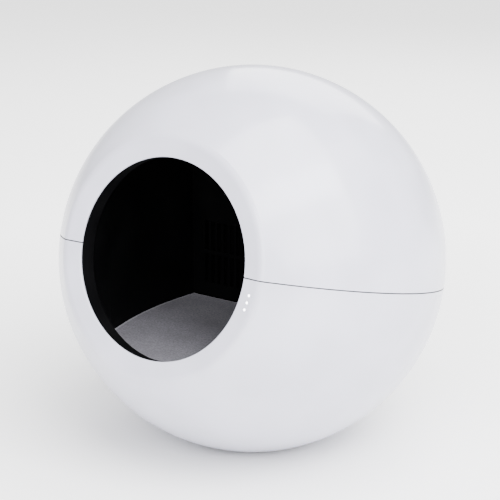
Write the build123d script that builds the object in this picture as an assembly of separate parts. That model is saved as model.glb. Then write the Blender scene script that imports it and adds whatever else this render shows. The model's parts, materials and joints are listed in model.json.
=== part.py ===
from build123d import *
from math import acos, atan2, cos, degrees, pi, radians, sin, sqrt, tan
import os

# A self-cleaning cat litter box: a white ball that leans back a little, split along a seam into a
# base and a hinged hood. A round entry leads into a black drum with a level, matted floor. The drum
# turns about the entry's axis on two front rollers and a rear bearing, driven by a gearmotor. Litter
# falls through the grille at the back of the drum, clumps slide over the ramp in its roof and out of
# the port in its rear plate, into a waste drawer that pulls out at the back.
#
# Frames. The row frame stands on the floor, +Z up, with the entry towards -Y. "level" has its origin at
# the ball's centre and the same directions. "ball" leans back: its -Y is the entry's axis and its XY
# plane is the seam. Sizes are in millimetres.

# ---------------------------------------------------------------- driving dimensions
ball_radius = 265.0
wall = 4.0
centre_height = 250.0
centre_back = -10.01
base_underside = 5.0
lean = 14.0

entry_radius = 129.5
lip_depth = 211.7
dish_radius = 155.0
dish_blend = 14.0
lip_round = 1.6
seam_gap = 1.2
seam_round = 0.7
seam_tongue_depth = 1.6

drum_radius = 229.0
drum_wall = 4.0
drum_front_plane = -181.0
drum_rear_plane = 116.0
plate_thickness = 3.0

floor_level = -106.0
mat_thickness = 2.0
panel_thickness = 3.0
chamber_back = 87.0
chamber_back_half_width = 167.0
chamber_middle = (176.0, -14.0)
chamber_crease = (162.0, -112.0)
chamber_mouth = (138.0, -184.0)
running_clearance = 0.05

level = Location((0, centre_back, centre_height))
ball = level * Location((0, 0, 0), (-lean, 0, 0))
far = 2 * ball_radius
inner_radius = ball_radius - wall
touch = 0.2


# ---------------------------------------------------------------- small helpers
def block(x, y, z):
    """A box between the limits x, y and z, each a pair."""
    size = [high - low for low, high in (x, y, z)]
    middle = [(high + low) / 2 for low, high in (x, y, z)]
    return Pos(*middle) * Box(*size)


def rod(radius, y0, y1, x=0.0, z=0.0):
    """A cylinder along Y from y0 to y1."""
    return Pos(x, (y0 + y1) / 2, z) * Rot(90, 0, 0) * Cylinder(radius, y1 - y0)


def tube(outer, inner, y0, y1, x=0.0, z=0.0):
    """A ring along Y."""
    return rod(outer, y0, y1, x, z) - rod(inner, y0 - 1, y1 + 1, x, z)


def on_ring(radius, angle):
    """X and Z of a point on a circle about the entry's axis, angle in degrees from +X up."""
    return radius * cos(radians(angle)), radius * sin(radians(angle))


def in_level(shape):
    """A solid that was drawn in the ball frame, expressed in the level frame."""
    return Location((0, 0, 0), (-lean, 0, 0)) * shape


def cap_screw(y_head, x, z, length, radius=2.0, head=3.6, direction=1):
    """A socket-head screw along Y, its head at y_head and its shank towards +Y, or -Y."""
    head_height = 1.8 * radius
    if direction > 0:
        body = rod(radius, y_head, y_head + length, x, z) + rod(head, y_head - head_height, y_head, x, z)
        return body - rod(radius * 0.8, y_head - head_height - 1, y_head - head_height / 2, x, z)
    body = rod(radius, y_head - length, y_head, x, z) + rod(head, y_head, y_head + head_height, x, z)
    return body - rod(radius * 0.8, y_head + head_height / 2, y_head + head_height + 1, x, z)


# ---------------------------------------------------------------- the ball and its dished lip
def ball_body(inset):
    """The solid ball with its dished front, taken in by inset all over. Ball frame."""
    radius = ball_radius - inset
    rim_y = -sqrt(ball_radius**2 - dish_radius**2)
    slope = (-lip_depth - rim_y) / (entry_radius - dish_radius)
    offset = rim_y - slope * dish_radius + inset * sqrt(1 + slope**2)
    a = 1 + slope**2
    b = 2 * slope * offset
    c = offset**2 - radius**2
    rim_r = (-b + sqrt(b**2 - 4 * a * c)) / (2 * a)
    rim = (rim_r, slope * rim_r + offset)
    lip = (entry_radius, slope * entry_radius + offset)
    outline = Wire(
        [
            ThreePointArc((0, radius), (radius, 0), rim),
            Line(rim, lip),
            Line(lip, (0, lip[1])),
            Line((0, lip[1]), (0, radius)),
        ]
    )
    face = make_face(outline)
    rim_vertex = [v for v in face.vertices() if abs(v.X - rim[0]) < 0.01 and abs(v.Y - rim[1]) < 0.01]
    return revolve(fillet(rim_vertex, dish_blend - inset), axis=Axis.Y, revolution_arc=360)


def half(upper):
    """Everything above, or below, the seam's gap. Ball frame."""
    limits = (seam_gap / 2, far) if upper else (-far, -seam_gap / 2)
    return block((-far, far), (-far, far), limits)


def soften_seam(shell):
    """Rounds the outer edge of a half shell where it meets the seam. Ball frame."""
    edges = []
    for edge in shell.edges():
        box = edge.bounding_box()
        middle = edge.position_at(0.5)
        level_edge = box.size.Z < 0.001 and abs(abs(middle.Z) - seam_gap / 2) < 0.001
        on_sphere = sqrt(middle.X**2 + middle.Y**2) > ball_radius - 1
        on_dish = middle.Y < wall / 2 - lip_depth and abs(middle.X) > entry_radius + lip_round
        if level_edge and (on_sphere or on_dish):
            edges.append(edge)
    return fillet(edges, seam_round)


def rounded_shell():
    """The whole skin of the ball with its entry hole, its lip rounded. Ball frame."""
    skin = ball_body(0) - ball_body(wall) - rod(entry_radius, -far, 0)
    lip_edges = [
        e
        for e in skin.edges().filter_by(GeomType.CIRCLE)
        if abs(e.radius - entry_radius) < 0.01 and e.center().Y < 0
    ]
    return fillet(lip_edges, lip_round)


# ---------------------------------------------------------------- hood hinge
hinge_y = ball_radius + 2.5
knuckle_radius = 4.8
pin_radius = 2.0
base_knuckles = [(-60, -36), (-12, 12), (36, 60)]
hood_knuckles = [(-35.4, -12.6), (12.6, 35.4)]


def barrel(radius, spans):
    """Cylinders on the hinge's axis over the given spans of X. Ball frame."""
    pieces = [Pos((a + b) / 2, hinge_y, 0) * Rot(0, 90, 0) * Cylinder(radius, b - a) for a, b in spans]
    return Part() + pieces


def with_knuckles(shell, own, other, side):
    """A half shell on one side of the seam with its own knuckles and their webs, and room for the others."""
    clear = 0.5
    z = sorted((side * seam_gap / 2, side * knuckle_radius))
    webs = [block(span, (0, hinge_y), z) - Sphere(inner_radius + 1) for span in own]
    room = barrel(knuckle_radius + clear, [(a - clear, b + clear) for a, b in other])
    length = own[-1][1] - own[0][0]
    bore = barrel(pin_radius + running_clearance, [(-length, length)])
    return shell + webs + barrel(knuckle_radius, own) - room - bore


def hinge_pin():
    return ball * barrel(pin_radius, [(base_knuckles[0][0] + 1, base_knuckles[-1][1] - 1)])


# ---------------------------------------------------------------- drawer opening, shared by base and drawer
drawer_half_width = 150.0
drawer_top = -88.5
drawer_bottom = -237.5
drawer_front_y = 66.0
drawer_corner = 12.0
drawer_gap = 0.9


def drawer_window(inset):
    """A rounded block along Y through the rear of the ball, taken in by inset. Level frame."""
    height = drawer_top - drawer_bottom - 2 * inset
    outline = RectangleRounded(2 * (drawer_half_width - inset), height, drawer_corner - inset)
    depth = ball_radius + 20 - drawer_front_y - inset
    middle = (drawer_top + drawer_bottom) / 2
    return Pos(0, drawer_front_y + inset, middle) * Rot(-90, 0, 0) * extrude(outline, depth)


# ---------------------------------------------------------------- base
foot_ring = 76.0
foot_angles = {"front_right": -45, "rear_right": 45, "rear_left": 135, "front_left": 225}
foot_radius = 13.0
stem_radius = 6.0
cell_side = 30.0
floor_top = base_underside + wall

flange_inner = 253.0
gasket_inner = 256.0
light_ring = 143.5
light_angles = (-8.0, -11.7, -15.4)
light_radius = 1.6
board_back = -203.0

cradle_front = -199.0
cradle_back = -193.0
cradle_bolt_ring = 160.0
cradle_bolt_angles = (-62, -118)

beam_front = 131.0
beam_back = 143.0
beam_bottom = -34.0
beam_top = -10.0
beam_half_length = 213.0
beam_bolt = (205.0, -22.0)

inlet = (-178.0, -128.0)
inlet_radius = 9.0
inlet_face = 136.0


def foot_places():
    """Name, X and Y of each foot."""
    for name, angle in foot_angles.items():
        yield name, foot_ring * cos(radians(angle)), centre_back + foot_ring * sin(radians(angle))


def base_shell():
    outer = ball * ball_body(0) & block((-far, far), (-far, far), (base_underside, far))
    inner = ball * ball_body(wall) & block((-far, far), (-far, far), (floor_top, far))
    shell = ball.inverse() * (outer - inner) & half(False)
    shell -= rod(entry_radius, -far, 0)
    lip_edges = [
        e
        for e in shell.edges().filter_by(GeomType.CIRCLE)
        if abs(e.radius - entry_radius) < 0.01 and e.center().Y < 0
    ]
    shell = soften_seam(fillet(lip_edges, lip_round))

    flange = Pos(0, 0, -6) * Cylinder(inner_radius + 1, 4) - Pos(0, 0, -6) * Cylinder(flange_inner, 6)
    flange &= block((-far, far), (-190, far), (-20, 0))
    shell += flange & Sphere(inner_radius + wall / 2)

    bosses = []
    for angle in cradle_bolt_angles:
        x, z = on_ring(cradle_bolt_ring, angle)
        bosses.append(rod(5.5, -215, cradle_front - touch, x, z))
    for side in (-1, 1):
        bosses.append(rod(7, beam_back + touch, 170, side * beam_bolt[0], beam_bolt[1]))
    for angle in (light_angles[0] + 5, light_angles[-1] - 5):
        x, z = on_ring(light_ring, angle)
        bosses.append(rod(2.6, -216, board_back - 1.6, x, z))
    shell += [b & ball_body(wall / 2) for b in bosses]
    for side in (-1, 1):
        shell -= rod(2, beam_back - 1, 153, side * beam_bolt[0], beam_bolt[1])
    for angle in cradle_bolt_angles:
        x, z = on_ring(cradle_bolt_ring, angle)
        shell -= rod(2, -205, cradle_front + 1, x, z)
    for angle in light_angles:
        x, z = on_ring(light_ring, angle)
        shell -= rod(light_radius + running_clearance, -far, -200, x, z)
    shell = with_knuckles(shell, base_knuckles, hood_knuckles, -1)

    shell = in_level(shell)
    shell += rod(inlet_radius + 3, inlet_face - 14, 160, *inlet) & Sphere(ball_radius - wall / 2)
    shell -= rod(inlet_radius + running_clearance, 100, far, *inlet)
    shell -= drawer_window(0)
    shell = level * shell
    for _, x, y in foot_places():
        shell -= Pos(x, y, floor_top) * Cylinder(stem_radius + 0.4, 4 * wall)
    return shell


def seam_gasket():
    """A ring on the base's flange, with a tongue that fills the seam up to a little below the surface."""
    ring = Cylinder(inner_radius - 0.4, 4.5) - Cylinder(gasket_inner, 6)
    ring = Pos(0, 0, -4 + 4.5 / 2) * ring & block((-far, far), (-188, far), (-10, 10))
    tongue = ball_body(seam_tongue_depth) - ball_body(wall + 2)
    tongue -= rod(entry_radius + seam_tongue_depth, -far, 0)
    tongue &= block((-far, far), (-far, far), (-seam_gap / 2, seam_gap / 2 - 0.3))
    return ball * (ring + tongue - barrel(knuckle_radius + 0.6, [(-62, 62)]))


def foot(x, y):
    pad = Pos(x, y, 2.2) * Cylinder(foot_radius, 4.4)
    pad = chamfer(pad.edges().filter_by(GeomType.CIRCLE).sort_by(Axis.Z)[0], 1.0)
    return pad + Pos(x, y, (4.4 + floor_top) / 2) * Cylinder(stem_radius, floor_top - 4.4)


def load_cell(x, y):
    """A square half-bridge cell: a frame with a springy tongue in its middle."""
    cell = Pos(x, y, floor_top + 3) * Box(cell_side, cell_side, 6)
    cell = fillet(cell.edges().filter_by(Axis.Z), 3)
    slot = Pos(x, y, floor_top + 3) * (Box(22, 22, 8) - Box(17, 17, 9) - Pos(0, 8, 0) * Box(12, 8, 9))
    return cell - slot


def entry_collar():
    """The short black tube behind the lip, with a foot that bolts to the cradle."""
    ring = tube(133.6, 131.0, -206, -191)
    foot_plate = tube(158, 132, -201.4, cradle_front) & block((-52, 52), (-far, 0), (-far, -88))
    collar = ring + foot_plate
    for angle in (-75, -105):
        x, z = on_ring(150, angle)
        collar -= rod(2.2, -210, -190, x, z)
    return ball * collar


roller_radius = 12.0
track_radius = 142.0
roller_ring = track_radius + roller_radius + touch
roller_angles = {"right": -55.0, "left": -125.0}
axle_radius = 3.0


def front_cradle():
    plate = tube(168.4, 136, cradle_front, cradle_back) & block((-far, far), (-far, 0), (-far, -80))
    plate &= Sphere(inner_radius - touch)
    for angle in roller_angles.values():
        x, z = on_ring(roller_ring, angle)
        plate += rod(7, cradle_back - 1, cradle_back + 4, x, z)
        plate -= rod(axle_radius, -210, -170, x, z)
    for angle in cradle_bolt_angles:
        x, z = on_ring(cradle_bolt_ring, angle)
        plate -= rod(2.3, -210, -170, x, z)
    for angle in (-75, -105):
        x, z = on_ring(150, angle)
        plate -= rod(2, -210, -170, x, z)
    return ball * plate


def roller_axles():
    pins = []
    for angle in roller_angles.values():
        x, z = on_ring(roller_ring, angle)
        pins += [rod(axle_radius, cradle_front, -178.4, x, z), rod(4.6, -179.6, -178.4, x, z)]
    return ball * (Part() + pins)


def front_roller(angle):
    x, z = on_ring(roller_ring, angle)
    wheel = tube(roller_radius, axle_radius + running_clearance, -188.4, -180.2, x, z)
    rims = [e for e in wheel.edges().filter_by(GeomType.CIRCLE) if abs(e.radius - roller_radius) < 0.01]
    return ball * fillet(rims, 1.2)


def cradle_screws():
    screws = []
    for angle in cradle_bolt_angles:
        x, z = on_ring(cradle_bolt_ring, angle)
        screws.append(cap_screw(cradle_back, x, z, 11, radius=1.9, direction=-1))
    for angle in (-75, -105):
        x, z = on_ring(150, angle)
        screws.append(cap_screw(-201.4, x, z, 8, radius=1.9, direction=1))
    return ball * (Part() + screws)


# ---------------------------------------------------------------- rear beam, bearing and drive
module = 2.5
ring_teeth = 40
pinion_teeth = 16
pressure_angle = radians(20)
backlash = 0.3
gear_front = 119.0
gear_back = 128.0
shaft_radius = 10.0
bush_radius = 16.0
centre_distance = module * (ring_teeth + pinion_teeth) / 2 + 0.1
motor_drop = -20.0
motor_x = sqrt(centre_distance**2 - motor_drop**2)
motor_angle = atan2(motor_drop, motor_x)
gearbox_radius = 18.5
output_radius = 3.0


def gear(teeth, phase):
    """A spur gear about Z with involute flanks, one tooth's middle at the angle phase in radians."""
    pitch = module * teeth / 2
    base = pitch * cos(pressure_angle)
    tip = pitch + 0.95 * module
    root = pitch - 1.2 * module
    inv = tan(pressure_angle) - pressure_angle
    half_tooth = (pi * module / 2 - backlash / 2) / (2 * pitch)

    def flank(radius):
        """Half of the tooth's angle at a radius."""
        if radius <= base:
            return half_tooth + inv
        turn = acos(base / radius)
        return half_tooth + inv - (tan(turn) - turn)

    steps = 4
    start = max(base, root)
    radii = [start + (tip - start) * k / steps for k in range(steps + 1)]
    outline = []
    for tooth in range(teeth):
        middle = phase + 2 * pi * tooth / teeth
        outline += [(root, middle - flank(root))] if root < start else []
        outline += [(r, middle - flank(r)) for r in radii]
        outline += [(r, middle + flank(r)) for r in reversed(radii)]
        outline += [(root, middle + flank(root))] if root < start else []
    points = [(r * cos(a), r * sin(a)) for r, a in outline]
    return extrude(make_face(Polyline(*points, close=True)), gear_back - gear_front)


def along_entry_axis(shape, x=0.0, z=0.0):
    """Turns a gear about Z so that its face looks along the entry's axis. Its X stays X, its Y becomes Z."""
    return Pos(x, gear_back, z) * Rot(90, 0, 0) * shape


def ring_gear():
    wheel = along_entry_axis(gear(ring_teeth, motor_angle))
    wheel -= rod(shaft_radius, gear_front - 1, gear_back + 1)
    for k in range(6):
        x, z = on_ring(31, 60 * k)
        wheel -= rod(9, gear_front - 1, gear_back + 1, x, z)
    return ball * wheel


def drive_pinion():
    phase = motor_angle + pi + pi / pinion_teeth
    wheel = along_entry_axis(gear(pinion_teeth, phase), motor_x, motor_drop)
    return ball * (wheel - rod(output_radius, gear_front - 1, gear_back + 1, motor_x, motor_drop))


def output_shaft():
    return ball * rod(output_radius, gear_front, beam_back + 12, motor_x, motor_drop)


def rear_beam():
    beam = block((-beam_half_length, beam_half_length), (beam_front, beam_back), (beam_bottom, beam_top))
    beam = fillet(beam.edges().filter_by(Axis.Y), 6)
    beam += rod(26, beam_front, beam_back) + rod(22, beam_front, beam_back, motor_x, motor_drop)
    pockets = [(-190, -156), (-146, -112), (-102, -68), (-60, -32), (102, 146), (156, 190)]
    for left, right in pockets:
        beam -= block((left, right), (beam_front + 4, beam_back + 1), (beam_bottom + 4, beam_top - 4))
    beam -= rod(bush_radius, beam_front - 1, beam_back + 1)
    beam -= rod(8, beam_front - 1, beam_back + 1, motor_x, motor_drop)
    for side in (-1, 1):
        beam -= rod(2.3, beam_front - 1, beam_back + 1, side * beam_bolt[0], beam_bolt[1])
    return ball * (beam & Sphere(inner_radius - touch))


def rear_bushing():
    bush = tube(bush_radius, shaft_radius + running_clearance, beam_front, beam_back)
    return ball * (bush + tube(21, shaft_radius + running_clearance, beam_front - 2, beam_front))


def beam_screws():
    screws = [cap_screw(beam_front, side * beam_bolt[0], beam_bolt[1], 20, direction=1) for side in (-1, 1)]
    return ball * (Part() + screws)


def gearbox():
    can = rod(gearbox_radius, beam_back, beam_back + 22, motor_x, motor_drop)
    can += rod(7.8, beam_back - 4, beam_back, motor_x, motor_drop)
    return ball * (can - rod(output_radius + running_clearance, 100, beam_back + 13, motor_x, motor_drop))


def drive_motor():
    start = beam_back + 22
    can = rod(17.2, start, start + 32, motor_x, motor_drop)
    can = fillet(can.edges().filter_by(GeomType.CIRCLE), 1.5)
    can += rod(6, start + 32, start + 35, motor_x, motor_drop)
    for x in (motor_x - 11, motor_x + 11):
        can += block((x - 1, x + 1), (start + 31, start + 38), (motor_drop - 2, motor_drop + 2))
    return ball * can


box_x = (-162.0, -66.0)
box_y = (beam_back + touch, beam_back + 23)
box_z = (-34.0, 30.0)


def control_box():
    outer = fillet(block(box_x, box_y, box_z).edges().filter_by(Axis.Y), 4)
    inner = block((box_x[0] + 2, box_x[1] - 2), (box_y[0] + 2, box_y[1] + 1), (box_z[0] + 2, box_z[1] - 2))
    return ball * (outer - inner)


def control_box_lid():
    lid = block(box_x, (box_y[1], box_y[1] + 2.5), box_z)
    lid = fillet(lid.edges().filter_by(Axis.Y), 4)
    for k in range(5):
        lid -= block((box_x[0] + 20, box_x[1] - 20), (box_y[1] - 1, box_y[1] + 4), (-20 + 9 * k, -17 + 9 * k))
    return ball * lid


def control_board():
    y = box_y[0] + 6
    board = block((box_x[0] + 4, box_x[1] - 4), (y, y + 1.6), (box_z[0] + 4, box_z[1] - 4))
    chips = [
        ((-150, -132), 3, (4, 22)),
        ((-124, -112), 6, (2, 20)),
        ((-150, -128), 9, (-26, -14)),
        ((-104, -80), 2.4, (-8, 14)),
    ]
    for x, height, z in chips:
        board += block(x, (y + 1.6, y + 1.6 + height), z)
    caps = [rod(4, y + 1.6, y + 12, x, -20) for x in (-112, -100, -88)]
    legs = [rod(2.5, box_y[0] + 2, y, x, z) for x in (-154, -74) for z in (-26, 22)]
    return ball * (board + caps + legs)


def filter_holder():
    outer = block((-56, 36), (beam_back + touch, beam_back + 16), (-53, -17))
    inner = block((-53, 33), (beam_back + 3, beam_back + 17), (-50, -20))
    return ball * (fillet(outer.edges().filter_by(Axis.Y), 3) - inner)


def carbon_filter():
    return ball * block((-52.5, 32.5), (beam_back + 3.2, beam_back + 14), (-49.5, -20.5))


def led_board():
    angles = (light_angles[0] + 7, light_angles[-1] - 7)
    board = tube(light_ring + 6, light_ring - 6, board_back - 1.6, board_back)
    wedge_points = [(0, 0)] + [on_ring(200, a) for a in angles]
    wedge = extrude(make_face(Polyline(*wedge_points, close=True)), far)
    return ball * (board & Pos(0, 0, 0) * Rot(90, 0, 0) * wedge)


def status_lights():
    pipes = []
    for angle in light_angles:
        x, z = on_ring(light_ring, angle)
        pipes.append(rod(light_radius, -far, board_back - 1.6, x, z))
    return ball * ((Part() + pipes) & ball_body(0.05))


def entry_sensor():
    body = block((-13, 13), (-202, -192.5), (134.2, 143))
    body = fillet(body.edges().filter_by(Axis.Y), 2)
    return ball * body


def home_sensor():
    return ball * block((-103, -91), (124.5, beam_front), (-30, -18))


def power_inlet():
    jack = rod(inlet_radius, inlet_face - 18, inlet_face, *inlet)
    jack -= rod(3.2, inlet_face - 10, inlet_face + 1, *inlet)
    jack += rod(1.0, inlet_face - 11, inlet_face - 1.5, *inlet)
    return level * jack


rail_x = 139.5
rail_y = (104.0, 168.0)
rail_z = (-104.0, -98.0)


def drawer_rail(side):
    shelf = block((rail_x, far), rail_y, rail_z) & Sphere(inner_radius - touch)
    return level * (shelf if side > 0 else mirror(shelf, about=Plane.YZ))


# ---------------------------------------------------------------- hood
def hood_shell():
    shell = soften_seam(rounded_shell() & half(True))
    return ball * with_knuckles(shell, hood_knuckles, base_knuckles, 1)


# ---------------------------------------------------------------- drum
drum_inner = drum_radius - drum_wall
port_half_width = 80.0
port_z = (153.0, 173.0)


def drum_front():
    skin = Sphere(drum_radius) - Sphere(drum_inner)
    return ball * (skin & block((-far, far), (drum_front_plane, 0), (-far, far)))


def drum_rear():
    rim = sqrt(drum_radius**2 - drum_rear_plane**2)
    inner_rim = sqrt(drum_inner**2 - drum_rear_plane**2)
    back = drum_rear_plane + plate_thickness
    outline = Wire(
        [
            ThreePointArc((drum_radius, 0), on_ring(drum_radius, 12), (rim, drum_rear_plane)),
            Line((rim, drum_rear_plane), (rim, back)),
            Line((rim, back), (0, back)),
            Line((0, back), (0, drum_rear_plane)),
            Line((0, drum_rear_plane), (inner_rim, drum_rear_plane)),
            ThreePointArc((inner_rim, drum_rear_plane), on_ring(drum_inner, 12), (drum_inner, 0)),
            Line((drum_inner, 0), (drum_radius, 0)),
        ]
    )
    shell = revolve(make_face(outline), axis=Axis.Y, revolution_arc=360)
    rib = block((108, 180), (back - 1, back + 2), (-1.5, 1.5))
    shell += [Rot(0, 60 * k, 0) * rib for k in range(6)]
    port = block((-port_half_width, port_half_width), (100, 130), port_z)
    return ball * (shell - port)


def entry_track():
    ring = tube(track_radius, 134, -189.5, drum_front_plane)
    rims = [e for e in ring.edges().filter_by(GeomType.CIRCLE) if e.center().Y < -189]
    return ball * fillet(rims, 1.5)


def rear_shaft():
    start = drum_rear_plane + plate_thickness
    return ball * (rod(shaft_radius, start, 148) - rod(2.5, 136, 149))


def shaft_clip():
    return ball * tube(14.5, shaft_radius, beam_back + 0.6, beam_back + 2.4)


def home_magnet():
    return ball * rod(4, drum_rear_plane + plate_thickness, 122, -97, -24)


def chamber_plan(outset):
    """The chamber's outline seen from above, open towards the entry, taken out by outset. Level frame."""
    back = chamber_back + outset
    bx = chamber_back_half_width + outset
    mx, my = chamber_middle[0] + outset, chamber_middle[1]
    cx, cy = chamber_crease[0] + outset, chamber_crease[1]
    ex, ey = chamber_mouth[0] + outset, chamber_mouth[1]
    front = -drum_radius
    outline = Wire(
        [
            Line((-bx, back), (bx, back)),
            ThreePointArc((bx, back), (mx, my), (cx, cy)),
            Line((cx, cy), (ex, ey)),
            Line((ex, ey), (ex, front)),
            Line((ex, front), (-ex, front)),
            Line((-ex, front), (-ex, ey)),
            Line((-ex, ey), (-cx, cy)),
            ThreePointArc((-cx, cy), (-mx, my), (-bx, back)),
        ]
    )
    return make_face(outline)


plate_top = floor_level - mat_thickness
plate_bottom = plate_top - panel_thickness
ramp_front = (-110.0, 167.0)
ramp_back = (drum_rear_plane, 150.0)


def drum_room():
    """The inside of the drum, less a little clearance. Level frame."""
    room = Sphere(drum_inner - 0.1) & block((-far, far), (drum_front_plane, drum_rear_plane), (-far, far))
    return in_level(room)


def under_ramp(drop):
    """Everything that lies lower than the roof ramp, by drop. Level frame."""
    slope = (ramp_back[1] - ramp_front[1]) / (ramp_back[0] - ramp_front[0])
    points = [(-far, -far), (far, -far), (far, ramp_back[1] + slope * (far - ramp_back[0]) - drop)]
    points.append((-far, ramp_back[1] + slope * (-far - ramp_back[0]) - drop))
    side = make_face(Polyline(*points, close=True))
    return in_level(Pos(-far, 0, 0) * Rot(0, 0, 90) * Rot(90, 0, 0) * extrude(side, 2 * far))


def floor_plate():
    plate = Pos(0, 0, plate_bottom) * extrude(chamber_plan(0), panel_thickness)
    return level * (plate & drum_room())


def litter_mat():
    mat = Pos(0, 0, plate_top) * extrude(chamber_plan(-0.6), mat_thickness)
    return level * (mat & drum_room() & in_level(Sphere(drum_inner - 1)))


def chamber_walls():
    """Both side walls as one shape. Level frame."""
    height = far
    ring = extrude(chamber_plan(panel_thickness), height) - extrude(chamber_plan(0), height)
    ring = Pos(0, 0, plate_bottom) * ring
    ring &= block((-far, far), (-far, chamber_back), (-far, far))
    return ring & drum_room() & under_ramp(panel_thickness + 0.1)


def chamber_wall(side):
    keep = block((0, far) if side > 0 else (-far, 0), (chamber_mouth[1] - 60, far), (-far, far))
    return level * (chamber_walls() & keep)


grille_top = 92.0
bar_pitch = 11.4
slot_width = 7.4
slot_z = ((-84.0, -40.0), (-34.0, 10.0))


def sifter_grille():
    """The back wall: two rows of upright slots, with an open gap above it."""
    across = (-chamber_back_half_width, chamber_back_half_width)
    panel = block(across, (chamber_back, chamber_back + panel_thickness), (plate_bottom, grille_top))
    count = 26
    slots = []
    for k in range(count):
        x = bar_pitch * (k - (count - 1) / 2)
        slots += [block((x - slot_width / 2, x + slot_width / 2), (80, 100), z) for z in slot_z]
    panel -= slots
    rib = block((-150, 150), (chamber_back + 3, chamber_back + 6), (24, 27))
    return level * ((panel + rib) & drum_room())


def waste_ramp():
    """The roof of the chamber, which leads clumps to the port when the drum is upside down."""
    slab = under_ramp(0) - under_ramp(panel_thickness)
    inside = block((-200, 200), (-far, far), (0, far))
    front = in_level(block((-far, far), (ramp_front[0], far), (-far, far)))
    return level * (slab & inside & front & drum_room())


# ---------------------------------------------------------------- waste drawer
tub_front = 124.0
tub_half_width = 138.0
tub_top = -94.0
tub_bottom = -234.0
tub_wall = 2.5
tub_lip = -184.0
pull_x = 46.0
pull_y = (222.0, 300.0)
pull_z = (-117.0, -95.0)


def pull_pocket(inset):
    across = (-pull_x + inset, pull_x - inset)
    return block(across, (pull_y[0] + inset, pull_y[1]), (pull_z[0] + inset, pull_z[1] - inset))


def drawer_front():
    skin = in_level(ball_body(0) - ball_body(wall) & half(False)) & drawer_window(drawer_gap)
    return level * (skin - pull_pocket(-touch))


def waste_tub():
    def hollow(inset, top):
        across = (-tub_half_width + inset, tub_half_width - inset)
        room = block(across, (-far, far), (tub_bottom + inset, top))
        behind = in_level(block((-far, far), (tub_front + inset, far), (-far, far)))
        return room & behind & Sphere(inner_radius - 0.1 - inset)

    tub = hollow(0, tub_top) - hollow(tub_wall, far)
    behind = in_level(block((-far, far), (tub_front, far), (-far, far)))
    for side in (-1, 1):
        inner, outer = sorted((side * (tub_half_width - tub_wall), side * (tub_half_width + 8)))
        flange = block((inner, outer), (-far, far), (rail_z[1] + 0.4, tub_top))
        tub += flange & behind & Sphere(inner_radius - 0.1)
    tub -= in_level(block((-120, 120), (tub_front - 5, tub_front + 6), (tub_lip, far)))
    return level * (tub - pull_pocket(-touch))


def drawer_pull():
    cup = pull_pocket(0) - pull_pocket(2)
    return level * (cup & Sphere(ball_radius - 0.3))


# ---------------------------------------------------------------- export
def sub_parts():
    parts = {
        "base_shell": base_shell(),
        "seam_gasket": seam_gasket(),
        "hood_shell": hood_shell(),
        "hinge_pin": hinge_pin(),
        "entry_collar": entry_collar(),
        "front_cradle": front_cradle(),
        "roller_axles": roller_axles(),
        "cradle_screws": cradle_screws(),
        "rear_beam": rear_beam(),
        "rear_bushing": rear_bushing(),
        "beam_screws": beam_screws(),
        "gearbox": gearbox(),
        "drive_motor": drive_motor(),
        "drive_pinion": drive_pinion(),
        "output_shaft": output_shaft(),
        "ring_gear": ring_gear(),
        "control_box": control_box(),
        "control_box_lid": control_box_lid(),
        "control_board": control_board(),
        "filter_holder": filter_holder(),
        "carbon_filter": carbon_filter(),
        "led_board": led_board(),
        "status_lights": status_lights(),
        "entry_sensor": entry_sensor(),
        "home_sensor": home_sensor(),
        "home_magnet": home_magnet(),
        "power_inlet": power_inlet(),
        "drum_front": drum_front(),
        "drum_rear": drum_rear(),
        "entry_track": entry_track(),
        "rear_shaft": rear_shaft(),
        "shaft_clip": shaft_clip(),
        "floor_plate": floor_plate(),
        "litter_mat": litter_mat(),
        "sifter_grille": sifter_grille(),
        "waste_ramp": waste_ramp(),
        "drawer_front": drawer_front(),
        "waste_tub": waste_tub(),
        "drawer_pull": drawer_pull(),
    }
    for name, side in (("left", -1), ("right", 1)):
        parts[f"chamber_wall_{name}"] = chamber_wall(side)
        parts[f"drawer_rail_{name}"] = drawer_rail(side)
        parts[f"front_roller_{name}"] = front_roller(roller_angles[name])
    for name, x, y in foot_places():
        parts[f"foot_{name}"] = foot(x, y)
        parts[f"load_cell_{name}"] = load_cell(x, y)
    return parts


os.makedirs("parts", exist_ok=True)
for node, shape in sub_parts().items():
    export_step(shape, f"parts/{node}.step")
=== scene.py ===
"""The looks of a ball-shaped, self-cleaning cat litter box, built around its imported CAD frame.

The frame gives every place and size. The ball leans back: "ball" coordinates have their origin at the
ball's centre, -Y along the entry's axis and the seam in their XY plane. Sizes are in metres, and a
size whose name ends in _mm is in millimetres.
"""

from __future__ import annotations

import json
import logging
import math
from dataclasses import dataclass, field
from enum import Enum
from typing import Any, Iterable

import bmesh
import bpy
from mathutils import Matrix, Vector


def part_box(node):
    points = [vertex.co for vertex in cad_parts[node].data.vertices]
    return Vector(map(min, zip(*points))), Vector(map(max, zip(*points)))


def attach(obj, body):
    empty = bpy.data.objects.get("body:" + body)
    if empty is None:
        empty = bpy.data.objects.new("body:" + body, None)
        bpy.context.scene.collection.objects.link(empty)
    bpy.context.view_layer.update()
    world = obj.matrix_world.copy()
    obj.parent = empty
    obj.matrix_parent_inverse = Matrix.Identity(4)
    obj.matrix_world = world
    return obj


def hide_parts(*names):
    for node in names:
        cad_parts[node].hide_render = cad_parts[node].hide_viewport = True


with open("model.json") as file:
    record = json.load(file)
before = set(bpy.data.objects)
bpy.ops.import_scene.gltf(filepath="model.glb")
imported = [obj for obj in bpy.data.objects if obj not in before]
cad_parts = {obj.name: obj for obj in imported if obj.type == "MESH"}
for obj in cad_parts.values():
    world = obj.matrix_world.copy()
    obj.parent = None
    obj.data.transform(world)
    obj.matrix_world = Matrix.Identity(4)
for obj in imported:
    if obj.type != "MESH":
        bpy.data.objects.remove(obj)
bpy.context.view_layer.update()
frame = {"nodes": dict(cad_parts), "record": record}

MM = 0.001
SAME_PLACE = 0.001 * MM
LEAN = math.radians(14)
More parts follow.
